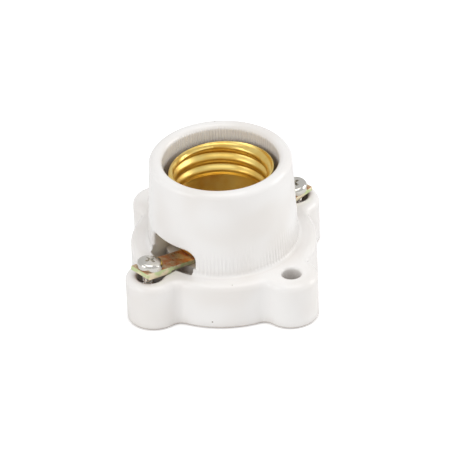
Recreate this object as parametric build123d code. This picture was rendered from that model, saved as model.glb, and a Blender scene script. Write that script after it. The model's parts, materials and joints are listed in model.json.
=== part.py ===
from build123d import *
import math
import os

# Lamp holder for a 27 mm lamp thread: a glazed porcelain body with a brass shell,
# two terminal strips and a sprung centre contact.
# X runs through the two terminals, Y through the two mounting holes, Z up the socket.
# The origin is the centre of the face that lies on the wall or ceiling.

# Porcelain barrel
overall_height = 38.4
barrel_foot_radius = 20.3
barrel_top_radius = 19.05
bore_radius = 15.55
lip_round_share = 0.45  # of the wall at the rim
barrel_foot_round = 1.1

# Porcelain base, a disc with four lobes
disc_ledge = 4.8
disc_radius = barrel_foot_radius + disc_ledge
base_height = 13.5
lobe_radius = 7.4
lobe_offset = 0.65
lobe_distance = disc_radius + lobe_offset
valley_radius = 3.0
base_top_round = 1.8
base_bottom_round = 0.9

# Floor inside the barrel
floor_ledge_offset = 0.1
floor_ledge_height = base_height + floor_ledge_offset
floor_thickness = 6.0
strip_thickness = 1.2
strip_floor_height = floor_ledge_height - strip_thickness
recess_radius = 17.5
recess_depth = floor_ledge_height - floor_thickness
recess_round = 0.8

# Wall notches that the strips pass through
notch_width = 16.0
notch_height = 6.6
notch_top = base_height + notch_height
notch_corner_round = 3.0
notch_mouth_round = 0.8
notch_floor_reach = 0.6
well_depth = 3.5
well_wall = 0.45

# Mounting holes, in the front and back lobes
mounting_hole_radius = 2.6
mounting_hole_offset = 0.45
mounting_hole_distance = lobe_distance + mounting_hole_offset
mounting_hole_mouth_round = 0.9

# Terminal pockets, in the left and right lobes
terminal_offset = 1.05
terminal_distance = lobe_distance + terminal_offset
pocket_radius = 3.5
pocket_depth = 8.0
pocket_floor = base_height - pocket_depth
pocket_mouth_round = 0.8

# Brass shell, rolled from one sheet
sheet = 0.35
shell_outer_radius = 13.7
shell_setback = 3.8
shell_top = overall_height - shell_setback
thread_pitch = 3.63
thread_depth = 1.1
thread_turns = 3
shell_lip_height = 0.9
shell_lip_flare = 0.55
shell_bend_radius = 0.5
flange_opening_radius = 6.6
shell_gap_width = 10.4
shell_gap_height = 4.1

# Terminal strips; a rise is how far a strip's tip stands above the ledge
strip_width = 6.3
strip_tip_margin = 3.6
strip_tip_distance = terminal_distance + strip_tip_margin
strip_inner_end = 5.5
strip_bend_offset = 0.3
strip_bend_distance = shell_outer_radius + strip_bend_offset
shell_strip_rise = 3.3
centre_strip_rise = 2.3
lug_height = 0.75
lug_inner_distance = 21.6
lug_tip_setback = 0.7
lug_end_slant = 0.3

# Terminal screws
terminal_screw_radius = 1.6
terminal_head_radius = 3.5
terminal_head_height = 2.1
terminal_head_round = 0.9
terminal_screw_length = 5.6
recess_arm_length = 4.0
recess_arm_width = 0.85
recess_cross_depth = 1.2
screw_end_chamfer = 0.3

# Fixings through the floor
fixing_distance = 9.8
fixing_radius = 1.5
fixing_head_radius = 2.75
fixing_head_height = 1.8
fixing_head_round = 0.7
fixing_slot_width = 0.8
fixing_slot_depth = 0.9
fixing_end_below_nut = 0.4
washer_radius = 3.2
washer_thickness = 0.5
nut_across_flats = 5.5
nut_thickness = 2.4

# Sprung centre contact
leaf_width = 5.0
leaf_thickness = 0.4
leaf_foot_end = 12.6
leaf_rise_start = 6.7
leaf_rise_end = 2.8
leaf_height = 5.3
leaf_top = floor_ledge_height + leaf_height
leaf_tip = 2.6
nib_radius = 2.0
nib_height = 0.9
nib_round = 0.6
nib_shank_radius = 0.95
nib_tail_radius = 1.5
nib_tail_thickness = 0.5

# Clearances
screw_hole_clearance = 0.2
thread_clearance = 0.05
strip_side_clearance = 0.1
over_cut = 1.0
near = 0.01  # how closely an edge is matched to its size or height

half_turn = Rot(0, 0, 180)


def base_block():
    """Round base with four lobes, rounded along its top and bottom edges."""
    outline = Circle(disc_radius)
    for turn in range(4):
        outline += Rot(0, 0, 90 * turn) * Pos(lobe_distance, 0) * Circle(lobe_radius)
    outline = fillet(outline.vertices(), valley_radius)
    block = extrude(outline, base_height)
    block = fillet(block.faces().sort_by(Axis.Z)[-1].edges(), base_top_round)
    return fillet(block.faces().sort_by(Axis.Z)[0].edges(), base_bottom_round)


def barrel_block():
    """Slightly tapered barrel, solid inside, standing on the base."""
    height = overall_height - base_height
    return Pos(0, 0, base_height + height / 2) * Cone(barrel_foot_radius, barrel_top_radius, height)


def circle_edges(solid, radius, height):
    """Round edges of a solid with this radius at this height."""
    found = solid.edges().filter_by(GeomType.CIRCLE)
    return [e for e in found if abs(e.radius - radius) < near and abs(e.center().Z - height) < near]


def upright(radius, bottom, top, x=0.0, y=0.0):
    """Cylinder between two heights."""
    return Pos(x, y, (bottom + top) / 2) * Cylinder(radius, top - bottom)


def notch_prism():
    """Straight opening through both walls, with rounded upper corners."""
    height = notch_top - strip_floor_height
    profile = Plane.YZ * Pos(0, strip_floor_height + height / 2) * Rectangle(notch_width, height)
    corners = profile.vertices().group_by(Axis.Z)[-1]
    return extrude(fillet(corners, notch_corner_round), disc_radius, both=True)


def notch_cut():
    """Both wall notches, the sunken floor between them and a deeper well in each notch."""
    reach = barrel_foot_radius + notch_floor_reach
    through = notch_prism() & upright(reach, strip_floor_height - over_cut, overall_height)
    well = upright(reach, base_height - well_depth, base_height)
    well -= upright(bore_radius + well_wall, base_height - well_depth, base_height)
    return through + (well & Box(2 * reach, notch_width, 2 * base_height))


def notch_mouth_cut():
    """Rounds the notches' outer edges: the space around the barrel, running into the notches."""
    bottom = base_height + 1.5 * barrel_foot_round  # clear of the barrel's foot rounding
    band = upright(disc_radius, bottom, notch_top + 2 * notch_mouth_round)
    cut = band - barrel_block() + (notch_prism() & band)
    widest = max(barrel_foot_radius, barrel_top_radius)
    edges = []
    for edge in cut.edges():
        centre = edge.center()
        beside = abs(centre.Y) < notch_width / 2 + near and centre.Z < notch_top + near
        outside = bore_radius < math.hypot(centre.X, centre.Y) < widest + near
        if beside and outside and centre.Z > bottom + near:
            edges.append(edge)
    return fillet(edges, notch_mouth_round)


def channel_cut():
    """Channel on the +X side that leads the strip from the notch to its pocket."""
    width = strip_width + 2 * strip_side_clearance
    inner = barrel_foot_radius - over_cut
    top = base_height + over_cut
    middle = Pos((inner + terminal_distance) / 2, 0, (strip_floor_height + top) / 2)
    return middle * Box(terminal_distance - inner, width, top - strip_floor_height)


def fixing_places():
    """Name, x and y of the four fixings through the floor."""
    return [
        ("shell_front", 0, -fixing_distance),
        ("shell_back", 0, fixing_distance),
        ("shell_strip", -fixing_distance, 0),
        ("centre_contact", fixing_distance, 0),
    ]


def porcelain_body():
    body = base_block() + barrel_block()
    body = fillet(circle_edges(body, barrel_foot_radius, base_height), barrel_foot_round)
    body -= upright(bore_radius, floor_ledge_height, overall_height + over_cut)
    rim = circle_edges(body, barrel_top_radius, overall_height)
    rim += circle_edges(body, bore_radius, overall_height)
    body = fillet(rim, lip_round_share * (barrel_top_radius - bore_radius))
    body -= upright(recess_radius, -over_cut, recess_depth)
    body = fillet(circle_edges(body, recess_radius, 0), recess_round)
    for side in (-1, 1):
        hole_y = side * mounting_hole_distance
        body -= upright(mounting_hole_radius, -over_cut, base_height + over_cut, 0, hole_y)
    body = fillet(circle_edges(body, mounting_hole_radius, base_height), mounting_hole_mouth_round)
    for side in (-1, 1):
        place = side * terminal_distance
        body -= upright(pocket_radius, pocket_floor, base_height + over_cut, place)
    body = fillet(circle_edges(body, pocket_radius, base_height), pocket_mouth_round)
    body -= notch_cut()
    body -= notch_mouth_cut()
    body -= channel_cut()
    body -= half_turn * channel_cut()
    hole_radius = fixing_radius + screw_hole_clearance
    for name, x, y in fixing_places():
        body -= upright(hole_radius, 0, floor_ledge_height + over_cut, x, y)
    return body


def arc_about(centre_r, centre_z, radius, start, end):
    """Arc in the XZ plane about a centre, between two angles in degrees."""
    points = []
    for angle in (start, (start + end) / 2, end):
        turn = math.radians(angle)
        points.append((centre_r + radius * math.cos(turn), 0, centre_z + radius * math.sin(turn)))
    return ThreePointArc(*points)


def shell_wall(inset):
    """One face of the sheet, from the flange opening up to the shell's top edge.

    inset is 0 on the outer face and one sheet thickness on the inner face.
    """
    wall_radius = shell_outer_radius - inset
    flange_z = floor_ledge_height + inset
    bend_centre_r = shell_outer_radius - sheet - shell_bend_radius
    bend_centre_z = floor_ledge_height + sheet + shell_bend_radius
    bend = shell_bend_radius + sheet - inset
    middle = sheet / 2 - inset
    # The rolled thread is a row of equal arcs, bulging in and out by turns.
    quarter = thread_pitch / 4
    half_depth = thread_depth / 2
    arc_radius = (quarter ** 2 + half_depth ** 2) / (2 * half_depth)
    arc_half = math.degrees(math.asin(quarter / arc_radius))
    valley_r = shell_outer_radius - sheet / 2 - arc_radius
    crest_r = shell_outer_radius - sheet / 2 - thread_depth + arc_radius
    valley = arc_radius + middle
    crest = arc_radius - middle
    thread_start = shell_top - shell_lip_height - thread_turns * thread_pitch
    wall = [
        Line((flange_opening_radius, 0, flange_z), (bend_centre_r, 0, flange_z)),
        arc_about(bend_centre_r, bend_centre_z, bend, -90, 0),
        Line((wall_radius, 0, bend_centre_z), (wall_radius, 0, thread_start)),
    ]
    for turn in range(thread_turns):
        z = thread_start + turn * thread_pitch
        wall.append(arc_about(valley_r, z, valley, 0, arc_half))
        wall.append(arc_about(crest_r, z + thread_pitch / 2, crest, 180 + arc_half, 180 - arc_half))
        wall.append(arc_about(valley_r, z + thread_pitch, valley, -arc_half, 0))
    thread_end = thread_start + thread_turns * thread_pitch
    wall.append(Line((wall_radius, 0, thread_end), (wall_radius + shell_lip_flare, 0, shell_top)))
    return wall


def threaded_shell():
    outer = shell_wall(0)
    inner = shell_wall(sheet)
    ends = [
        Line(outer[0] @ 0, inner[0] @ 0),
        Line(outer[-1] @ 1, inner[-1] @ 1),
    ]
    section = Face(Wire(outer + inner + ends))
    shell = revolve(section, Axis.Z, 360)
    gap_z = floor_ledge_height + shell_gap_height / 2
    shell -= Pos(shell_outer_radius, 0, gap_z) * Box(
        2 * shell_outer_radius, shell_gap_width, shell_gap_height)
    for name, x, y in fixing_places():
        shell -= upright(fixing_radius + screw_hole_clearance, 0, floor_ledge_height + over_cut, x, y)
    return shell


def strip_slope(rise):
    """Angle of a strip's sloping part, in radians."""
    return math.atan2(rise, strip_tip_distance - strip_bend_distance)


def strip_plane(rise):
    """Plane on top of a strip's sloping part at its bend, x outwards along the slope."""
    slope = strip_slope(rise)
    return Plane(
        origin=(strip_bend_distance, 0, floor_ledge_height),
        x_dir=(math.cos(slope), 0, math.sin(slope)),
        z_dir=(-math.sin(slope), 0, math.cos(slope)))


def along_slope(distance, rise):
    """Length along the slope from the bend to a distance from the socket's axis."""
    return (distance - strip_bend_distance) / math.cos(strip_slope(rise))


def terminal_strip(rise):
    """Strip along +X: flat under the shell, then sloping out over the terminal pocket."""
    slope = strip_slope(rise)
    tip_z = floor_ledge_height + rise
    bottom_bend = strip_bend_distance + strip_thickness * math.tan(slope / 2)
    bottom_tip = strip_tip_distance + strip_thickness * math.sin(slope)
    side = Polyline(
        (strip_inner_end, 0, strip_floor_height),
        (bottom_bend, 0, strip_floor_height),
        (bottom_tip, 0, tip_z - strip_thickness * math.cos(slope)),
        (strip_tip_distance, 0, tip_z),
        (strip_bend_distance, 0, floor_ledge_height),
        (strip_inner_end, 0, floor_ledge_height),
        close=True)
    strip = extrude(Face(Wire(side.edges())), strip_width / 2, dir=(0, 1, 0), both=True)
    strip += strip_lug(rise)
    tapped = terminal_screw_radius + thread_clearance
    at_screw = strip_plane(rise) * Pos(along_slope(terminal_distance, rise), 0, 0)
    strip -= at_screw * Cylinder(tapped, 2 * strip_thickness + over_cut)
    hole = fixing_radius + screw_hole_clearance
    strip -= upright(hole, 0, floor_ledge_height + over_cut, fixing_distance)
    return strip


def strip_lug(rise):
    """Lug folded down from one long edge, so that the strip can't turn with its screw."""
    start = along_slope(lug_inner_distance, rise)
    end = along_slope(strip_tip_distance, rise) - lug_tip_setback
    outline = Polyline(
        (start, 0, 0),
        (end, 0, 0),
        (end - lug_end_slant, 0, -strip_thickness - lug_height),
        (start, 0, -strip_thickness - lug_height),
        close=True)
    lug = extrude(Face(Wire(outline.edges())), strip_thickness, dir=(0, 1, 0))
    return strip_plane(rise) * Pos(0, strip_width / 2 - strip_thickness, 0) * lug


def screw(radius, length, head_radius, head_height, head_round):
    """Screw standing on the plane z = 0 under its head, shank down."""
    head = upright(head_radius, 0, head_height)
    head = fillet(circle_edges(head, head_radius, head_height), head_round)
    shank = upright(radius, -length, 0)
    shank = chamfer(circle_edges(shank, radius, -length), screw_end_chamfer)
    return head + shank


def terminal_screw(rise):
    """Terminal screw with a cross recess, square to its strip."""
    body = screw(terminal_screw_radius, terminal_screw_length, terminal_head_radius,
                 terminal_head_height, terminal_head_round)
    arm_z = terminal_head_height
    body -= Pos(0, 0, arm_z) * Box(recess_arm_length, recess_arm_width, 2 * recess_cross_depth)
    body -= Pos(0, 0, arm_z) * Box(recess_arm_width, recess_arm_length, 2 * recess_cross_depth)
    return strip_plane(rise) * Pos(along_slope(terminal_distance, rise), 0, 0) * body


def fixing_screw(x, y, seat):
    """Slotted screw whose head sits at a height, long enough for its washer and nut."""
    nut_bottom = recess_depth - washer_thickness - nut_thickness
    length = seat - nut_bottom + fixing_end_below_nut
    body = screw(fixing_radius, length, fixing_head_radius, fixing_head_height, fixing_head_round)
    slot = Pos(0, 0, fixing_head_height) * Box(
        2 * fixing_head_radius, fixing_slot_width, 2 * fixing_slot_depth)
    return Pos(x, y, seat) * (body - slot)


def fixing_washer(x, y):
    bottom = recess_depth - washer_thickness
    hole = fixing_radius + screw_hole_clearance / 2
    return upright(washer_radius, bottom, recess_depth, x, y) - upright(hole, 0, recess_depth, x, y)


def fixing_nut(x, y):
    bottom = recess_depth - washer_thickness - nut_thickness
    corner_radius = nut_across_flats / math.sqrt(3)
    nut = extrude(Pos(x, y, bottom) * RegularPolygon(corner_radius, 6), nut_thickness)
    return nut - upright(fixing_radius + thread_clearance, 0, recess_depth, x, y)


def centre_contact_leaf():
    """Leaf spring with its foot on the strip and its tip over the socket's centre."""
    foot_top = floor_ledge_height + leaf_thickness
    # The sloping part keeps the sheet's thickness, so its corners shift by this much.
    rise = math.atan2(leaf_top - foot_top, leaf_rise_start - leaf_rise_end)
    shift = leaf_thickness * math.tan(rise / 2)
    side = Polyline(
        (leaf_foot_end, 0, floor_ledge_height),
        (leaf_foot_end, 0, foot_top),
        (leaf_rise_start, 0, foot_top),
        (leaf_rise_end, 0, leaf_top),
        (-leaf_tip, 0, leaf_top),
        (-leaf_tip, 0, leaf_top - leaf_thickness),
        (leaf_rise_end - shift, 0, leaf_top - leaf_thickness),
        (leaf_rise_start - shift, 0, floor_ledge_height),
        close=True)
    leaf = extrude(Face(Wire(side.edges())), leaf_width / 2, dir=(0, 1, 0), both=True)
    leaf -= upright(nib_shank_radius + thread_clearance, leaf_top - 2 * leaf_thickness, leaf_top + over_cut)
    hole = fixing_radius + screw_hole_clearance
    return leaf - upright(hole, 0, foot_top + over_cut, fixing_distance)


def centre_contact_nib():
    """Contact rivet: domed head over the leaf, tail closed under it."""
    head = upright(nib_radius, leaf_top, leaf_top + nib_height)
    head = fillet(circle_edges(head, nib_radius, leaf_top + nib_height), nib_round)
    under = leaf_top - leaf_thickness
    shank = upright(nib_shank_radius, under, leaf_top)
    return head + shank + upright(nib_tail_radius, under - nib_tail_thickness, under)


nodes = {
    "porcelain_body": porcelain_body(),
    "threaded_shell": threaded_shell(),
    "shell_terminal_strip": half_turn * terminal_strip(shell_strip_rise),
    "centre_terminal_strip": terminal_strip(centre_strip_rise),
    "shell_terminal_screw": half_turn * terminal_screw(shell_strip_rise),
    "centre_terminal_screw": terminal_screw(centre_strip_rise),
    "centre_contact_leaf": centre_contact_leaf(),
    "centre_contact_nib": centre_contact_nib(),
}
for name, x, y in fixing_places():
    clamped = leaf_thickness if name == "centre_contact" else sheet
    nodes[name + "_fixing_screw"] = fixing_screw(x, y, floor_ledge_height + clamped)
    nodes[name + "_fixing_washer"] = fixing_washer(x, y)
    nodes[name + "_fixing_nut"] = fixing_nut(x, y)

os.makedirs("parts", exist_ok=True)
for name, shape in nodes.items():
    export_step(shape, "parts/" + name + ".step")
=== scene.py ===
import json
import logging
import math
from dataclasses import dataclass, field
from enum import Enum
from typing import Any, Callable

import bpy
from mathutils import Matrix, Vector


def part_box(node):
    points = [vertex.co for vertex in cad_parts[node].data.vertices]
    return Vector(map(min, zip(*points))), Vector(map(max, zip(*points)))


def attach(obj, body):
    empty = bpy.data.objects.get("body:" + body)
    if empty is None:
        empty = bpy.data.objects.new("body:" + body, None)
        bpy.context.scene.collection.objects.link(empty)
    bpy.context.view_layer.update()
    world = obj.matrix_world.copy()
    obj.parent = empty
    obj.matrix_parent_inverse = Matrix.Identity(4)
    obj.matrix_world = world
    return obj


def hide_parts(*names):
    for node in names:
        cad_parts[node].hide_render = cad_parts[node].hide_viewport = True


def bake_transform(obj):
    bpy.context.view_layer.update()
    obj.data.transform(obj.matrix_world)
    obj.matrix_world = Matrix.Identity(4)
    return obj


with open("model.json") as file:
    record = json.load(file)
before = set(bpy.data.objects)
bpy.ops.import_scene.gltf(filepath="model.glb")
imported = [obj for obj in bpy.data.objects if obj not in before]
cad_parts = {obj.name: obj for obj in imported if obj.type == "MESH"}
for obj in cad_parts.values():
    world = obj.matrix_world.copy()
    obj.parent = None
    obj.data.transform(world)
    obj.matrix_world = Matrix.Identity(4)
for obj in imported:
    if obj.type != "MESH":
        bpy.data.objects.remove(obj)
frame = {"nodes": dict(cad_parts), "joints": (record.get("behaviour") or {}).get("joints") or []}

logging.basicConfig(level=logging.INFO, format="%(message)s")
log = logging.getLogger("lamp_holder")

MM = 0.001
Mesh = bpy.types.Object
Tree = bpy.types.NodeTree
Node = bpy.types.Node
Socket = bpy.types.NodeSocket


class Pick(Enum):
    """Which elements of a mesh an edit works on."""

    POINTS = "VERT"
    EDGES = "EDGE"
    FACES = "FACE"


def linear(hex_code: str) -> tuple[float, float, float, float]:
    """Turns an sRGB hex colour into linear light.

    Args:
        hex_code: the colour as #RRGGBB.

    Returns:
        Red, green and blue in linear light, and an alpha of 1.
    """
    values = [int(hex_code[i:i + 2], 16) / 255 for i in (1, 3, 5)]
    light = [v / 12.92 if v <= 0.04045 else ((v + 0.055) / 1.055) ** 2.4 for v in values]
    return (*light, 1.0)


def add_node(tree: Tree, kind: str, inputs: dict[Any, Any] | None = None, **settings: Any) -> Node:
    """Adds one shader node with its settings and links.

    Args:
        tree: the material's or world's node tree.
        kind: the node's type name.
        inputs: socket name or number, and the value it holds or the socket that feeds it.
        settings: the node's own properties.

    Returns:
        The new node.
    """
    node = tree.nodes.new(kind)
    for name, value in settings.items():
        setattr(node, name, value)
    for key, value in (inputs or {}).items():
        if isinstance(value, Socket):
            tree.links.new(value, node.inputs[key])
        else:
            node.inputs[key].default_value = value
    return node


def maths(tree: Tree, operation: str, *values: Any) -> Socket:
    """Works out one number from others in the shader.

    Args:
        tree: the node tree.
        operation: the sum to do.
        values: numbers or sockets, in order.

    Returns:
        The socket that holds the result.
    """
    node = add_node(tree, "ShaderNodeMath", dict(enumerate(values)), operation=operation)
    return node.outputs[0]


def ramp(tree: Tree, value: Socket, low: float, high: float) -> Socket:
    """Turns a value into a smooth step from 0 at low to 1 at high.

    Args:
        tree: the node tree.
        value: the socket to read.
        low: the value that gives 0.
        high: the value that gives 1.

    Returns:
        The socket that holds the step.
    """
    sockets = {"Value": value, "From Min": low, "From Max": high}
    node = add_node(tree, "ShaderNodeMapRange", sockets, interpolation_type="SMOOTHSTEP")
    return node.outputs[0]


def mix_colour(tree: Tree, share: Any, first: Any, second: Any) -> Socket:
    """Mixes two colours by a share from 0 to 1.

    Args:
        tree: the node tree.
        share: number or socket, 0 for the first colour.
        first: colour or socket.
        second: colour or socket.

    Returns:
        The socket that holds the mixed colour.
    """
    node = add_node(tree, "ShaderNodeMix", data_type="RGBA")
    for number, value in ((0, share), (6, first), (7, second)):
        if isinstance(value, Socket):
            tree.links.new(value, node.inputs[number])
        else:
            node.inputs[number].default_value = value
    return node.outputs[2]


def new_material(name: str) -> tuple[bpy.types.Material, Tree, Node, Socket]:
    """Starts a material with one shader on its output.

    Args:
        name: the finish's common name.

    Returns:
        The material, its node tree, its shader and the object's own coordinates.
    """
    material = bpy.data.materials.new(name)
    material.use_nodes = True
    tree = material.node_tree
    shader = tree.nodes["Principled BSDF"]
    place = add_node(tree, "ShaderNodeTexCoord").outputs["Object"]
    return material, tree, shader, place


def noise(tree: Tree, place: Socket, size_mm: float, detail: float = 3.0) -> Socket:
    """Gives soft random patches of a real size.

    Args:
        tree: the node tree.
        place: the coordinates to read.
        size_mm: the patches' size in millimetres.
        detail: how many finer layers are added.

    Returns:
        The socket that holds a value about 0.5.
    """
    inputs = {"Vector": place, "Scale": 1 / (size_mm * MM), "Detail": detail}
    return add_node(tree, "ShaderNodeTexNoise", inputs).outputs["Fac"]


def between(tree: Tree, value: Socket, low: float, high: float, soft: float) -> Socket:
    """Is 1 where a value lies between two limits, with soft edges.

    Args:
        tree: the node tree.
        value: the socket to read.
        low: the lower limit.
        high: the upper limit.
        soft: how wide each edge is.

    Returns:
        The socket that holds the share.
    """
    above = ramp(tree, value, low - soft / 2, low + soft / 2)
    below = maths(tree, "SUBTRACT", 1.0, ramp(tree, value, high - soft / 2, high + soft / 2))
    return maths(tree, "MULTIPLY", above, below)


def shut_in(tree: Tree, reach: float) -> Socket:
    """Is 1 deep in a hollow and 0 where nothing stands near.

    Args:
        tree: the node tree.
        reach: how far round a place counts, in metres.

    Returns:
        The socket that holds the share.
    """
    open_share = add_node(tree, "ShaderNodeAmbientOcclusion", {"Distance": reach}, samples=8).outputs["AO"]
    return maths(tree, "SUBTRACT", 1.0, ramp(tree, open_share, 0.15, 0.75))


@dataclass(frozen=True)
class GlazedPorcelain:
    """White porcelain, dry pressed, then glazed and fired."""

    colour: str = "#F6F4F2"
    shade: str = "#F0ECE8"
    speck: str = "#8A7B6C"
    # Painted shade colour for the hollows.
    hollow: str = "#A89888"
    roughness: float = 0.14
    glaze_index: float = 1.5
    edge_round: float = 0.45 * MM
    speck_radius: float = 0.2 * MM
    speck_places: tuple[tuple[float, float, float], ...] = (
        (11.07 * MM, 14.07 * MM, 38.3 * MM), (14.59 * MM, -6.01 * MM, 38.3 * MM),
        (-14.78 * MM, -19.03 * MM, 13.5 * MM), (-19.5 * MM, -15.8 * MM, 2.3 * MM))
    rib_width: float = 0.78 * MM
    bore_radius: float = 15.55 * MM
    rib_depth: float = 0.13 * MM
    rib_edge: float = 0.3 * MM
    bore_band: tuple[float, float] = (0.9, 1.01)
    barrel_band: tuple[float, float] = (1.2, 1.34)
    outer_rib_start: tuple[float, float] = (13.5 * MM, 14.5 * MM)
    outer_rib_end: tuple[float, float] = (17 * MM, 23 * MM)
    outer_rib_share: float = 0.9
    patch_mm: float = 9.0
    drift_mm: float = 14.0
    wave_mm: float = 7.0
    wave_depth: float = 0.06 * MM
    # How far round, and how strongly, the painted shade darkens the hollows.
    hollow_shade_reach: float = 5 * MM
    hollow_shade_share: float = 0.75

    def ribs(self, tree: Tree, place: Socket, shell_top: float) -> Socket:
        """Gives the height of the faint upright ribs that the pressing core and ring leave.

        Args:
            tree: the material's tree.
            place: the object's own coordinates.
            shell_top: the height of the shell's upper edge in metres.

        Returns:
            The socket that holds the height, from 0 to 1.
        """
        parts = add_node(tree, "ShaderNodeSeparateXYZ", {"Vector": place}).outputs
        angle = maths(tree, "ARCTAN2", parts["Y"], parts["X"])
        count = round(2 * math.pi * self.bore_radius / self.rib_width)
        wave = maths(tree, "SINE", maths(tree, "MULTIPLY", angle, count))
        wave = maths(tree, "MULTIPLY_ADD", wave, 0.5, 0.5)
        flat = add_node(tree, "ShaderNodeCombineXYZ", {"X": parts["X"], "Y": parts["Y"]}).outputs[0]
        radius = add_node(tree, "ShaderNodeVectorMath", {0: flat}, operation="LENGTH").outputs["Value"]
        near_bore = between(tree, radius, *(r * self.bore_radius for r in self.bore_band), self.rib_edge)
        above_shell = ramp(tree, parts["Z"], shell_top - 2 * MM, shell_top - 1 * MM)
        inner = maths(tree, "MULTIPLY", near_bore, above_shell)
        # Outside they fade in towards the barrel's foot and come and go round it.
        on_barrel = between(tree, radius, *(r * self.bore_radius for r in self.barrel_band), self.rib_edge)
        low_down = maths(tree, "SUBTRACT", 1.0, ramp(tree, parts["Z"], *self.outer_rib_end))
        low_down = maths(tree, "MULTIPLY", low_down, ramp(tree, parts["Z"], *self.outer_rib_start))
        come_and_go = ramp(tree, noise(tree, place, self.patch_mm, 1.0), 0.3, 0.5)
        outer = maths(tree, "MULTIPLY", maths(tree, "MULTIPLY", on_barrel, low_down), come_and_go)
        share = maths(tree, "MULTIPLY_ADD", outer, self.outer_rib_share, inner)
        return maths(tree, "MULTIPLY", wave, share)

    def material(self, shell_top: float) -> bpy.types.Material:
        """Builds the glaze with its faint pressed ribs, waves, specks and painted shade in its hollows.

        Args:
            shell_top: the height of the brass shell's upper edge in metres.

        Returns:
            The material.
        """
        material, tree, shader, place = new_material("glazed_porcelain")
        # The glaze pools a little, so its tone drifts over about a centimetre.
        drift = ramp(tree, noise(tree, place, self.drift_mm, 1.0), 0.35, 0.7)
        colour = mix_colour(tree, drift, linear(self.colour), linear(self.shade))
        # Four iron specks in the clay show through as tiny dark points.
        for spot in self.speck_places:
            far = add_node(tree, "ShaderNodeVectorMath", {0: place, 1: spot}, operation="DISTANCE")
            clear = ramp(tree, far.outputs["Value"], 0.5 * self.speck_radius, 1.5 * self.speck_radius)
            colour = mix_colour(tree, clear, linear(self.speck), colour)
        # Painted shade: the notches and the ground beside the shell are darkened towards a warm grey where
        # other surfaces stand near.
        hollow_shaded = maths(tree, "MULTIPLY", shut_in(tree, self.hollow_shade_reach), self.hollow_shade_share)
        colour = mix_colour(tree, hollow_shaded, colour, linear(self.hollow))
        tree.links.new(colour, shader.inputs["Base Color"])
        shader.inputs["Roughness"].default_value = self.roughness
        shader.inputs["IOR"].default_value = self.glaze_index
        # The glaze rounds each sharp edge of the clay, and waves slightly on the flat.
        edges = add_node(tree, "ShaderNodeBevel", {"Radius": self.edge_round}, samples=6)
        ribs = add_node(tree, "ShaderNodeBump", {
            "Height": self.ribs(tree, place, shell_top), "Distance": self.rib_depth,
            "Normal": edges.outputs[0]})
        waves = add_node(tree, "ShaderNodeBump", {
            "Height": noise(tree, place, self.wave_mm, 1.0), "Distance": self.wave_depth,
            "Normal": ribs.outputs[0]})
        tree.links.new(waves.outputs[0], shader.inputs["Normal"])
        return material


@dataclass(frozen=True)
class RolledBrass:
    """Bright brass sheet, with the fine lines of rolling round the thread."""

    name: str = "rolled_brass"
    colour: str = "#FADE88"
    deep: str = "#EFC96C"
    roughness: float = 0.32
    patch_mm: float = 5.0
    shine_mm: float = 1.2
    shine_range: float = 0.12
    line_mm: float = 0.35
    line_depth: float = 0.006 * MM
    line_stretch: float = 0.06

    def material(self) -> bpy.types.Material:
        """Builds the brass, a little deeper in patches.

        Returns:
            The material.
        """
        material, tree, shader, place = new_material(self.name)
        patches = ramp(tree, noise(tree, place, self.patch_mm, 3.0), 0.4, 0.7)
        colour = mix_colour(tree, patches, linear(self.colour), linear(self.deep))
        tree.links.new(colour, shader.inputs["Base Color"])
        shader.inputs["Metallic"].default_value = 1.0
        # Handling and storage leave the shine uneven over about a millimetre.
        uneven = maths(tree, "MULTIPLY_ADD", noise(tree, place, self.shine_mm, 3.0), self.shine_range,
                       self.roughness - self.shine_range / 2)
        tree.links.new(uneven, shader.inputs["Roughness"])
        # The rollers leave fine level lines, drawn here as coarse as they need to show.
        squeeze = add_node(tree, "ShaderNodeMapping", {
            "Vector": place, "Scale": (self.line_stretch, self.line_stretch, 1.0)})
        lines = noise(tree, squeeze.outputs[0], self.line_mm, 2.0)
        bump = add_node(tree, "ShaderNodeBump", {"Height": lines, "Distance": self.line_depth})
        tree.links.new(bump.outputs[0], shader.inputs["Normal"])
        return material


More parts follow.
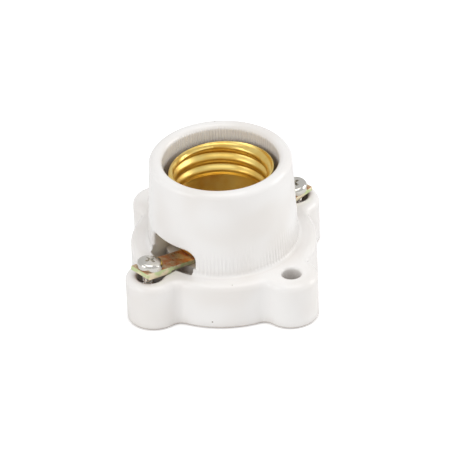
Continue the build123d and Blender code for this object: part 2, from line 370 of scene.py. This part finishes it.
@dataclass(frozen=True)
class PassivatedSteel:
    """Zinc plated steel with a yellow passivation that shifts from copper to green."""

    copper: str = "#C67F50"
    straw: str = "#CDB08A"
    worn: str = "#F4F0E8"
    green: str = "#CBD8A2"
    # Painted highlight colour on the sheared edges.
    cream_highlight: str = "#F1E3C4"
    roughness: float = 0.32
    film_metal: float = 0.5
    patch_mm: float = 2.2
    grain_mm: float = 0.3
    edge_patch_mm: float = 3.0
    shine_mm: float = 0.8
    shine_range: float = 0.3
    pitting_mm: float = 0.35
    pitting_depth: float = 0.012 * MM

    def material(self) -> bpy.types.Material:
        """Builds the plated strip: coppery on its face, straw and green on its sheared edges; the split by
        face direction is partly painted reflection.

        Returns:
            The material.
        """
        material, tree, shader, place = new_material("yellow_passivated_steel")
        patches = ramp(tree, noise(tree, place, self.patch_mm, 4.0), 0.38, 0.62)
        face = mix_colour(tree, patches, linear(self.copper), linear(self.straw))
        # Scratches and bare grains show the white zinc under the film.
        grains = ramp(tree, noise(tree, place, self.grain_mm, 2.0), 0.64, 0.7)
        face = mix_colour(tree, grains, face, linear(self.worn))
        # Faces that do not point up or down get green and cream in place of copper and straw. This is
        # partly the film's own tint and partly painted reflection, and the cream patches are a painted
        # highlight.
        edge_patches = ramp(tree, noise(tree, place, self.edge_patch_mm, 2.0), 0.4, 0.6)
        edge = mix_colour(tree, edge_patches, linear(self.green), linear(self.cream_highlight))
        normal = add_node(tree, "ShaderNodeNewGeometry").outputs["True Normal"]
        upward = add_node(tree, "ShaderNodeSeparateXYZ", {"Vector": normal}).outputs["Z"]
        on_face = ramp(tree, maths(tree, "ABSOLUTE", upward), 0.75, 0.97)
        tree.links.new(mix_colour(tree, on_face, edge, face), shader.inputs["Base Color"])
        # The passivation is a thin film, so the metal shows through it only in part.
        shader.inputs["Metallic"].default_value = self.film_metal
        uneven = maths(tree, "MULTIPLY_ADD", noise(tree, place, self.shine_mm, 3.0), self.shine_range,
                       self.roughness - self.shine_range / 2)
        tree.links.new(uneven, shader.inputs["Roughness"])
        pitting = add_node(tree, "ShaderNodeBump", {
            "Height": noise(tree, place, self.pitting_mm, 3.0), "Distance": self.pitting_depth})
        tree.links.new(pitting.outputs[0], shader.inputs["Normal"])
        return material


@dataclass(frozen=True)
class PlatedSteel:
    """Bright plated steel, as on small screws, washers and nuts."""

    name: str = "bright_plated_steel"
    colour: str = "#DEDBD4"
    # Painted shade colour for the recesses.
    recess_shade: str = "#6E6A60"
    roughness: float = 0.2
    shine_mm: float = 1.5
    shine_range: float = 0.15
    shine_low: float = 0.07
    recess_shade_reach: float = 0.8 * MM

    def material(self) -> bpy.types.Material:
        """Builds the plating, with painted shade in its recesses.

        Returns:
            The material.
        """
        material, tree, shader, place = new_material(self.name)
        uneven = maths(tree, "MULTIPLY_ADD", noise(tree, place, self.shine_mm, 3.0), self.shine_range,
                       self.roughness - self.shine_low)
        tree.links.new(uneven, shader.inputs["Roughness"])
        # Painted shade: the cross recess and the thread's grooves are drawn dark where other surfaces
        # stand near.
        recess_shaded = mix_colour(tree, shut_in(tree, self.recess_shade_reach), linear(self.colour), linear(self.recess_shade))
        tree.links.new(recess_shaded, shader.inputs["Base Color"])
        shader.inputs["Metallic"].default_value = 1.0
        return material


def dress(piece: Mesh, material: bpy.types.Material) -> None:
    """Puts one material on every slot of a piece.

    Args:
        piece: the piece to dress.
        material: its finish.
    """
    if not piece.data.materials:
        piece.data.materials.append(material)
    for number in range(len(piece.data.materials)):
        piece.data.materials[number] = material


def deselect() -> None:
    """Leaves nothing selected."""
    bpy.ops.object.select_all(action="DESELECT")


def choose(*pieces: Mesh) -> Mesh:
    """Selects only these pieces and makes the first one active.

    Args:
        pieces: the pieces, the active one first.

    Returns:
        The active piece.
    """
    deselect()
    for piece in pieces:
        piece.select_set(True)
    bpy.context.view_layer.objects.active = pieces[0]
    return pieces[0]


def pick(piece: Mesh, kind: Pick, test: Callable[[Vector], bool]) -> int:
    """Selects a piece's points, edges or faces by where they lie, and leaves it in edit mode.

    Args:
        piece: the piece, in object mode.
        kind: which elements to pick.
        test: true for a place to pick. An edge or a face is picked by its middle.

    Returns:
        How many were picked.
    """
    choose(piece)
    bpy.ops.object.mode_set(mode="EDIT")
    bpy.ops.mesh.select_mode(type=kind.value)
    bpy.ops.mesh.select_all(action="DESELECT")
    bpy.ops.object.mode_set(mode="OBJECT")
    mesh = piece.data
    found = 0
    if kind is Pick.POINTS:
        for point in mesh.vertices:
            point.select = test(point.co)
            found += point.select
    elif kind is Pick.EDGES:
        for edge in mesh.edges:
            first, second = (mesh.vertices[number].co for number in edge.vertices)
            edge.select = test((first + second) / 2)
            found += edge.select
    else:
        for face in mesh.polygons:
            face.select = test(face.center)
            found += face.select
    bpy.ops.object.mode_set(mode="EDIT")
    return found


def finish_edit() -> None:
    """Goes back to object mode."""
    bpy.ops.object.mode_set(mode="OBJECT")


def modify(piece: Mesh, kind: str, **settings: Any) -> None:
    """Adds one modifier and applies it.

    Args:
        piece: the piece to change.
        kind: the modifier's type name.
        settings: the modifier's own properties.
    """
    choose(piece)
    modifier = piece.modifiers.new(kind.lower(), kind)
    for name, value in settings.items():
        setattr(modifier, name, value)
    bpy.ops.object.modifier_apply(modifier=modifier.name)


def cut_away(piece: Mesh, cutter: Mesh) -> None:
    """Takes a cutter's shape out of a piece, and removes the cutter."""
    modify(piece, "BOOLEAN", operation="DIFFERENCE", object=cutter, solver="EXACT")
    bpy.data.objects.remove(cutter)


def soften(piece: Mesh, width: float, segments: int = 3, angle: float = 40.0) -> None:
    """Rounds a piece's sharp edges and shades it smooth between them.

    Args:
        piece: the piece to change.
        width: the rounding's width in metres.
        segments: how many strips each rounding has.
        angle: the least angle that is rounded, in degrees.
    """
    modify(piece, "BEVEL", width=width, segments=segments, limit_method="ANGLE",
           angle_limit=math.radians(angle), use_clamp_overlap=True)
    choose(piece)
    bpy.ops.object.shade_smooth_by_angle(angle=math.radians(35))


def settle(piece: Mesh, name: str, material: bpy.types.Material) -> Mesh:
    """Puts a piece's place into its mesh, names it and dresses it.

    Args:
        piece: the finished piece.
        name: the name it gets.
        material: its finish.

    Returns:
        The piece.
    """
    choose(piece)
    bpy.ops.object.transform_apply(location=True, rotation=True, scale=True)
    piece.name = name
    dress(piece, material)
    log.info("%s: %d faces", name, len(piece.data.polygons))
    return piece


def copy_of(node: str) -> Mesh:
    """Copies a solid as one merged mesh with flat faces, ready for rounding.

    Args:
        node: the solid's name in the frame.

    Returns:
        The copy, with its own mesh.
    """
    source = frame["nodes"][node]
    piece = bpy.data.objects.new(node + "_finished", source.data.copy())
    bpy.context.collection.objects.link(piece)
    piece.matrix_world = source.matrix_world.copy()
    choose(piece)
    bpy.ops.object.mode_set(mode="EDIT")
    bpy.ops.mesh.select_all(action="SELECT")
    bpy.ops.mesh.remove_doubles(threshold=1e-6)
    bpy.ops.mesh.dissolve_limited(angle_limit=math.radians(0.5))
    finish_edit()
    return piece


def open_tube(radius: float, bottom: float, top: float, around: int, rows: int) -> Mesh:
    """Makes an upright tube wall with even rows of faces and no ends.

    Args:
        radius: the wall's radius in metres.
        bottom: its lower edge in metres.
        top: its upper edge in metres.
        around: how many faces lie round it.
        rows: how many rows of faces it has.

    Returns:
        The tube wall.
    """
    deselect()
    height = top - bottom
    bpy.ops.mesh.primitive_cylinder_add(vertices=around, radius=radius, depth=height,
                                        end_fill_type="NOTHING", location=(0, 0, bottom + height / 2))
    tube = bpy.context.object
    bpy.ops.object.transform_apply(location=True, rotation=True, scale=True)
    middle = bottom + height / 2
    pick(tube, Pick.EDGES, lambda place: abs(place.z - middle) < height / 4)
    bpy.ops.mesh.subdivide(number_cuts=rows - 1)
    finish_edit()
    return tube


@dataclass(frozen=True)
class Thread:
    """A right-handed rolled or cut thread, pressed into a tube wall."""

    pitch: float
    depth: float
    crest_height: float
    crest_angle: float
    run_in: tuple[float, float]
    run_out: tuple[float, float]

    def weight(self, place: Vector) -> float:
        """Share of the depth by which the wall is pushed in at a place.

        Args:
            place: a point on the wall.

        Returns:
            The share, from 0 to 1.
        """
        turn = (math.atan2(place.y, place.x) - math.radians(self.crest_angle)) / (2 * math.pi)
        wave = 0.5 + 0.5 * math.cos(2 * math.pi * ((place.z - self.crest_height) / self.pitch - turn))
        return wave * fade(place.z, *self.run_in) * (1 - fade(place.z, *self.run_out))

    def press(self, tube: Mesh) -> None:
        """Pushes the wall in along the thread.

        Args:
            tube: the tube wall.
        """
        group = tube.vertex_groups.new(name="thread")
        for point in tube.data.vertices:
            group.add([point.index], self.weight(point.co), "REPLACE")
        modify(tube, "DISPLACE", direction="NORMAL", mid_level=0.0, strength=-self.depth,
               vertex_group="thread")
        tube.vertex_groups.clear()


def fade(value: float, start: float, end: float) -> float:
    """Smooth step from 0 at start to 1 at end."""
    share = min(max((value - start) / (end - start), 0.0), 1.0)
    return share * share * (3 - 2 * share)


@dataclass
class PorcelainBody:
    """The one-piece porcelain base and barrel."""

    node: str = "porcelain_body"
    finish: GlazedPorcelain = field(default_factory=GlazedPorcelain)

    def build(self) -> None:
        """Glazes the body."""
        _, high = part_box("threaded_shell")
        dress(frame["nodes"][self.node], self.finish.material(high[2]))
        log.info("%s glazed", self.node)


@dataclass
class BrassShell:
    """The rolled brass shell, with a true helical thread."""

    node: str = "threaded_shell"
    sheet: float = 0.35 * MM
    pitch: float = 3.63 * MM
    thread_depth: float = 1.1 * MM
    wall_radius: float = 13.7 * MM
    crest_below_top: float = 1.45 * MM
    lip_height: float = 1.3 * MM
    crest_angle: float = 48.0
    turns: float = 2.75
    bend: float = 0.85 * MM
    flange_opening: float = 6.6 * MM
    gap_width: float = 10.4 * MM
    gap_height: float = 4.1 * MM
    around: int = 180
    rows: int = 96
    bend_steps: int = 5
    finish: RolledBrass = field(default_factory=RolledBrass)

    def wall(self, radius: float, bottom: float, top: float) -> Mesh:
        """Makes the wall and rolls the thread into it.

        Args:
            radius: the wall's outer radius in metres.
            bottom: the wall's lower edge, above the bend.
            top: the shell's upper edge.

        Returns:
            The wall as one sheet.
        """
        wall = open_tube(radius, bottom, top, self.around, self.rows)
        thread_end = top - self.turns * self.pitch
        thread = Thread(self.pitch, self.thread_depth, top - self.crest_below_top, self.crest_angle,
                        (thread_end - 0.4 * self.pitch, thread_end + 0.3 * self.pitch),
                        (top + self.pitch, top + 2 * self.pitch))
        thread.press(wall)
        self.flare(wall, top)
        return wall

    def flare(self, wall: Mesh, top: float) -> None:
        """Opens the wall's upper edge into a smooth lip.

        Args:
            wall: the threaded wall.
            top: the shell's upper edge.
        """
        _, high = (Vector(corner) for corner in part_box(self.node))
        reach = 2 * self.thread_depth
        group = wall.vertex_groups.new(name="lip")
        for point in wall.data.vertices:
            share = max(0.0, 1 - (top - point.co.z) / self.lip_height)
            if share > 0:
                radius = math.hypot(point.co.x, point.co.y)
                group.add([point.index], share * (high.x - radius) / reach, "REPLACE")
        modify(wall, "DISPLACE", direction="NORMAL", mid_level=0.0, strength=reach,
               vertex_group="lip")
        wall.vertex_groups.clear()

    def flange(self, wall: Mesh, radius: float, bottom: float) -> None:
        """Turns the wall's lower edge inwards into the flat flange.

        Args:
            wall: the threaded wall.
            radius: the wall's outer radius in metres.
            bottom: the flange's underside in metres.
        """
        lower_edge = bottom + self.bend
        pick(wall, Pick.POINTS, lambda place: place.z < lower_edge + 0.02 * MM)
        before_r, before_z = radius, lower_edge
        steps = [math.radians(90 * (step + 1) / self.bend_steps) for step in range(self.bend_steps)]
        stations = [(radius - self.bend * (1 - math.cos(a)), lower_edge - self.bend * math.sin(a))
                    for a in steps]
        stations.append((self.flange_opening, bottom))
        for next_r, next_z in stations:
            bpy.ops.mesh.extrude_edges_move()
            bpy.ops.transform.translate(value=(0, 0, next_z - before_z))
            share = next_r / before_r
            bpy.ops.transform.resize(value=(share, share, 1), center_override=(0, 0, next_z))
            before_r, before_z = next_r, next_z
        finish_edit()

    def build(self) -> None:
        """Rolls, bends and dresses the shell."""
        low, high = (Vector(corner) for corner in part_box(self.node))
        shell = self.wall(self.wall_radius, low.z + self.bend, high.z)
        self.flange(shell, self.wall_radius, low.z)
        gap_top = low.z + self.gap_height
        pick(shell, Pick.FACES, lambda place: place.x > 0 and abs(place.y) < self.gap_width / 2
             and place.z < gap_top)
        bpy.ops.mesh.delete(type="FACE")
        finish_edit()
        modify(shell, "SOLIDIFY", thickness=self.sheet, offset=-1.0, use_even_offset=True)
        soften(shell, 0.1 * MM, 2, 60.0)
        settle(shell, "rolled_brass_shell", self.finish.material())
        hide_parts(self.node)
        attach(shell, "holder")


@dataclass
class TerminalScrew:
    """A pan head screw with a cross recess and a cut thread."""

    node: str
    body: str
    material: bpy.types.Material
    head_radius: float = 3.5 * MM
    head_height: float = 2.1 * MM
    head_round: float = 1.1 * MM
    head_dome: float = 0.16 * MM
    shank_radius: float = 1.6 * MM
    shank_length: float = 5.6 * MM
    thread_pitch: float = 0.7 * MM
    thread_depth: float = 0.32 * MM
    arm_length: float = 4.2 * MM
    arm_width: float = 1.05 * MM
    recess_depth: float = 1.5 * MM

    def head(self) -> Mesh:
        """Turns the head, domed on top and rounded at its rim.

        Returns:
            The head, without its recess.
        """
        deselect()
        bpy.ops.mesh.primitive_cylinder_add(vertices=72, radius=self.head_radius,
                                            depth=self.head_height,
                                            location=(0, 0, self.head_height / 2))
        head = bpy.context.object
        bpy.ops.object.transform_apply(location=True, rotation=True, scale=True)
        lowest_top = self.head_height - 0.01 * MM
        pick(head, Pick.EDGES, lambda place: place.z > lowest_top)
        bpy.ops.mesh.bevel(offset=self.head_round, segments=7, profile=0.5)
        finish_edit()
        pick(head, Pick.FACES, lambda place: place.z > lowest_top)
        for lift in (0.45, 0.35, 0.2):
            bpy.ops.mesh.inset(thickness=0.26 * (self.head_radius - self.head_round))
            bpy.ops.transform.translate(value=(0, 0, lift * self.head_dome))
        finish_edit()
        pick(head, Pick.EDGES, lambda place: place.z < 0.01 * MM)
        bpy.ops.mesh.bevel(offset=0.15 * MM, segments=3, profile=0.5)
        finish_edit()
        return head

    def recess(self) -> Mesh:
        """Makes the cross-shaped cutter, which narrows downwards.

        Returns:
            The cutter.
        """
        arms = []
        for turned in (False, True):
            deselect()
            bpy.ops.mesh.primitive_cube_add(size=1.0)
            arm = bpy.context.object
            sides = (self.arm_width, self.arm_length) if turned else (self.arm_length, self.arm_width)
            arm.dimensions = (*sides, 2 * self.recess_depth)
            arm.location = (0, 0, self.head_height + self.head_dome)
            bpy.ops.object.transform_apply(location=True, rotation=True, scale=True)
            pick(arm, Pick.FACES, lambda place: place.z < self.head_height - self.recess_depth / 2)
            bpy.ops.transform.resize(value=(0.55, 0.55, 1), center_override=(0, 0, 0))
            finish_edit()
            arms.append(arm)
        modify(arms[0], "BOOLEAN", operation="UNION", object=arms[1], solver="EXACT")
        bpy.data.objects.remove(arms[1])
        return arms[0]

    def shank(self) -> Mesh:
        """Cuts the thread into the shank and closes its ends.

        Returns:
            The shank.
        """
        end = -self.shank_length
        shank = open_tube(self.shank_radius, end, 0, 48, 80)
        thread = Thread(self.thread_pitch, self.thread_depth, end + 0.5 * self.thread_pitch, 0.0,
                        (end - 0.2 * self.thread_pitch, end + 0.8 * self.thread_pitch),
                        (-0.6 * self.thread_pitch, 0.0))
        thread.press(shank)
        pick(shank, Pick.POINTS, lambda place: place.z < end + 0.001 * MM)
        bpy.ops.mesh.extrude_edges_move()
        share = 1 - 0.3 * MM / self.shank_radius
        bpy.ops.transform.resize(value=(share, share, 1), center_override=(0, 0, end))
        bpy.ops.mesh.edge_face_add()
        finish_edit()
        pick(shank, Pick.POINTS, lambda place: place.z > -0.001 * MM)
        bpy.ops.mesh.edge_face_add()
        finish_edit()
        return shank

    def build(self) -> None:
        """Makes the screw upright, then sets it square to its strip."""
        head = self.head()
        cut_away(head, self.recess())
        soften(head, 0.07 * MM, 2, 45.0)
        shank = self.shank()
        choose(shank)
        bpy.ops.object.shade_smooth_by_angle(angle=math.radians(50))
        choose(head, shank)
        bpy.ops.object.join()
        seat, slope = strip_seat(self.node)
        head.matrix_world = Matrix.Translation(seat) @ Matrix.Rotation(-slope, 4, "Y")
        settle(head, self.body + "_pan_head", self.material)
        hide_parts(self.node)
        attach(head, self.body)


def strip_seat(screw_node: str) -> tuple[Vector, float]:
    """Finds where a terminal screw's head seats, and its strip's slope.

    Args:
        screw_node: the screw's name in the frame.

    Returns:
        The middle of the head's underside, and the slope in radians.
    """
    joint = next(joint for joint in frame["joints"] if joint["name"] == screw_node.replace(
        "_terminal_screw", "_screw_travel"))
    axis = Vector(joint["axis"]).normalized()
    slope = math.atan2(-axis.x, axis.z)
    points = [frame["nodes"][screw_node].matrix_world @ v.co for v in
              frame["nodes"][screw_node].data.vertices]
    middle = sum((Vector(c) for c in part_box(screw_node)), Vector()) / 2
    along = [(point - middle).dot(axis) for point in points]
    wide = [a for a, p in zip(along, points) if ((p - middle) - axis * a).length > 3.0 * MM]
    seat = middle + axis * min(wide)
    across = Vector((axis.z, 0, -axis.x))
    spread = [(point - middle).dot(across) for point in points]
    return seat + across * (min(spread) + max(spread)) / 2, slope


@dataclass
class TerminalStrip:
    """A passivated strip with softened edges."""

    node: str
    material: bpy.types.Material
    edge: float = 0.16 * MM

    def build(self) -> None:
        """Softens the strip's sheared edges and dresses it."""
        strip = copy_of(self.node)
        soften(strip, self.edge, 3, 30.0)
        settle(strip, self.node + "_finished", self.material)
        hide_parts(self.node)
        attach(strip, "holder")


@dataclass
class Fixings:
    """The slotted screws, washers and nuts that hold the metal to the floor."""

    edge: float = 0.12 * MM
    finish: PlatedSteel = field(
        default_factory=lambda: PlatedSteel("zinc_plated_steel", "#C4C9CC", roughness=0.3))

    def build(self) -> None:
        """Softens and dresses each fixing piece."""
        material = self.finish.material()
        for node in sorted(frame["nodes"]):
            if "_fixing_" in node:
                piece = copy_of(node)
                soften(piece, self.edge, 2, 40.0)
                settle(piece, node + "_finished", material)
                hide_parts(node)
                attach(piece, "holder")


@dataclass
class CentreContact:
    """The leaf spring and the contact rivet on its tip."""

    leaf_node: str = "centre_contact_leaf"
    nib_node: str = "centre_contact_nib"
    edge: float = 0.1 * MM
    finish: RolledBrass = field(
        default_factory=lambda: RolledBrass("hard_spring_brass", "#D9A55A", "#BD8238", roughness=0.26))

    def build(self) -> None:
        """Softens the leaf between holder and contact, and lets the rivet ride."""
        material = self.finish.material()
        leaf = copy_of(self.leaf_node)
        soften(leaf, self.edge, 2, 30.0)
        settle(leaf, "leaf_spring", material)
        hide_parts(self.leaf_node)
        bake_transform(leaf)
        nib = copy_of(self.nib_node)
        soften(nib, self.edge, 2, 40.0)
        settle(nib, "contact_rivet", material)
        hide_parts(self.nib_node)
        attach(nib, "centre_contact")


@dataclass
class Studio:
    """Pale floor, soft lamps and a white surround."""

    floor_size: float = 3.0
    floor_colour: str = "#F4F4F4"
    floor_lift: float = 0.35
    floor_gap: float = 0.05 * MM
    surround: float = 0.62
    lamps: tuple[tuple[str, tuple[float, float, float], float, float], ...] = (
        ("top_lamp", (-0.10, -0.15, 0.75), 0.6, 1.6),
        ("right_lamp", (0.70, -0.45, 0.35), 0.5, 2.2),
        ("left_lamp", (-0.70, 0.10, 0.30), 0.4, 1.0))

    def floor(self) -> None:
        """Lays the floor, a little lighter to the camera than its own light makes it."""
        bpy.ops.mesh.primitive_plane_add(size=self.floor_size, location=(0, 0, -self.floor_gap))
        floor = bpy.context.object
        floor.name = "floor"
        material, tree, shader, _ = new_material("pale_floor")
        shader.inputs["Base Color"].default_value = linear(self.floor_colour)
        shader.inputs["Roughness"].default_value = 1.0
        shader.inputs["Specular IOR Level"].default_value = 0.0
        seen = add_node(tree, "ShaderNodeLightPath").outputs["Is Camera Ray"]
        shader.inputs["Emission Color"].default_value = (1, 1, 1, 1)
        tree.links.new(maths(tree, "MULTIPLY", seen, self.floor_lift), shader.inputs["Emission Strength"])
        dress(floor, material)

    def lamp(self, name: str, place: tuple[float, float, float], size: float, power: float) -> None:
        """Hangs one square soft lamp that faces the object.

        Args:
            name: the lamp's name.
            place: where it hangs, in metres.
            size: its side in metres.
            power: its strength in watts.
        """
        data = bpy.data.lights.new(name, "AREA")
        data.shape = "SQUARE"
        data.size = size
        data.energy = power
        lamp = bpy.data.objects.new(name, data)
        lamp.location = place
        lamp.rotation_euler = (-Vector(place)).to_track_quat("-Z", "Y").to_euler()
        bpy.context.collection.objects.link(lamp)

    def world(self) -> None:
        """Surrounds the object with plain white, softer as light than as seen."""
        world = bpy.data.worlds.new("surround")
        bpy.context.scene.world = world
        world.use_nodes = True
        tree = world.node_tree
        path = add_node(tree, "ShaderNodeLightPath").outputs
        seen = maths(tree, "MAXIMUM", path["Is Camera Ray"], path["Is Transmission Ray"])
        strength = maths(tree, "MULTIPLY_ADD", seen, 1 - self.surround, self.surround)
        back = tree.nodes["Background"]
        back.inputs["Color"].default_value = (1, 1, 1, 1)
        tree.links.new(strength, back.inputs["Strength"])

    def build(self) -> None:
        """Sets up the floor, the lamps and the surround."""
        self.floor()
        for lamp in self.lamps:
            self.lamp(*lamp)
        self.world()
        log.info("studio lit")


@dataclass
class PhotoCamera:
    """The camera at the photograph's viewing angle."""

    azimuth: float = -41.82
    elevation: float = 33.78
    roll: float = -2.5
    distance: float = 0.900
    focal_px: float = 3348.0
    frame_px: float = 452.0
    aim_z: float = 0.018
    shift_right: float = 0.00078
    shift_down: float = 0.0015

    def build(self) -> None:
        """Places the camera and makes it the scene's."""
        a, e = math.radians(self.azimuth), math.radians(self.elevation)
        back = Vector((math.sin(a) * math.cos(e), -math.cos(a) * math.cos(e), math.sin(e)))
        right = Vector((math.cos(a), math.sin(a), 0))
        up = back.cross(right)
        turn = math.radians(self.roll)
        right, up = (math.cos(turn) * right + math.sin(turn) * up,
                     -math.sin(turn) * right + math.cos(turn) * up)
        data = bpy.data.cameras.new("photo_camera")
        data.sensor_width = 36.0
        data.lens = self.focal_px / self.frame_px * data.sensor_width
        data.clip_start, data.clip_end = 0.01, 10.0
        camera = bpy.data.objects.new("photo_camera", data)
        aim = Vector((0, 0, self.aim_z)) + right * self.shift_right - up * self.shift_down
        place = aim + back * self.distance
        turned = Matrix((right, up, back)).transposed().to_4x4()
        camera.matrix_world = Matrix.Translation(place) @ turned
        bpy.context.collection.objects.link(camera)
        bpy.context.scene.camera = camera


def main() -> None:
    """Builds the camera, the studio and each sub-assembly in order."""
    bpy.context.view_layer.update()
    bpy.context.scene.view_settings.view_transform = "Standard"
    PhotoCamera().build()
    Studio().build()
    PorcelainBody().build()
    BrassShell().build()
    strips = PassivatedSteel().material()
    bright = PlatedSteel().material()
    for side in ("shell", "centre"):
        TerminalStrip(side + "_terminal_strip", strips).build()
        TerminalScrew(side + "_terminal_screw", side + "_screw", bright).build()
    Fixings().build()
    CentreContact().build()


if __name__ == "__main__":
    main()
